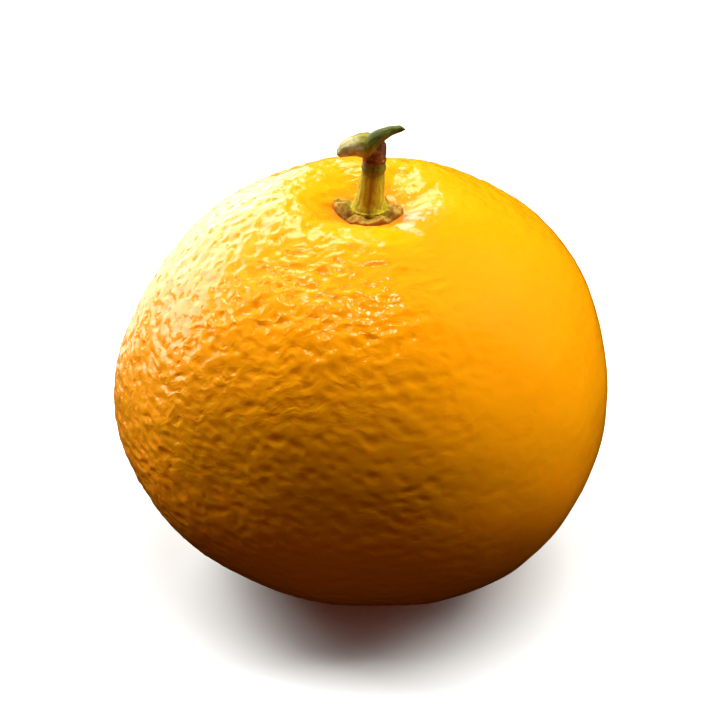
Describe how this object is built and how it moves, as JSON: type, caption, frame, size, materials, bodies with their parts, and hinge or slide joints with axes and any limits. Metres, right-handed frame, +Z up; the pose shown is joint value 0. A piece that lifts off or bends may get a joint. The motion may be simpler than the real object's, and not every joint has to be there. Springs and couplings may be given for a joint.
{
  "type": "yuzu fruit",
  "caption": "Whole ripe yuzu, a squat round yellow citrus with pitted, wrinkled rind, five-lobed calyx, short stalk and a snipped twig end.",
  "frame": {"origin": "middle of the bounding box's underside, on the surface that the fruit rests on", "axes": "+Z up through the stem, from the blossom end that it rests on; -Y is the front, the side that is best seen"},
  "size_m": [0.069, 0.0678, 0.0678],
  "materials": {
    "rind": "waxy yellow-orange rind with pitted oil glands",
    "calyx": "dry tan calyx with browned rims",
    "stalk": "dull olive green",
    "bark": "dry tan bark with reddish brown joint",
    "leaf_stalk": "dark green, pale cut tip"
  },
  "bodies": {
    "root": {"fruit": "rind", "calyx": "calyx", "fruit_stalk": "stalk", "twig_stub": "bark", "leaf_stalk_stub": "leaf_stalk"}
  },
  "joints": []
}
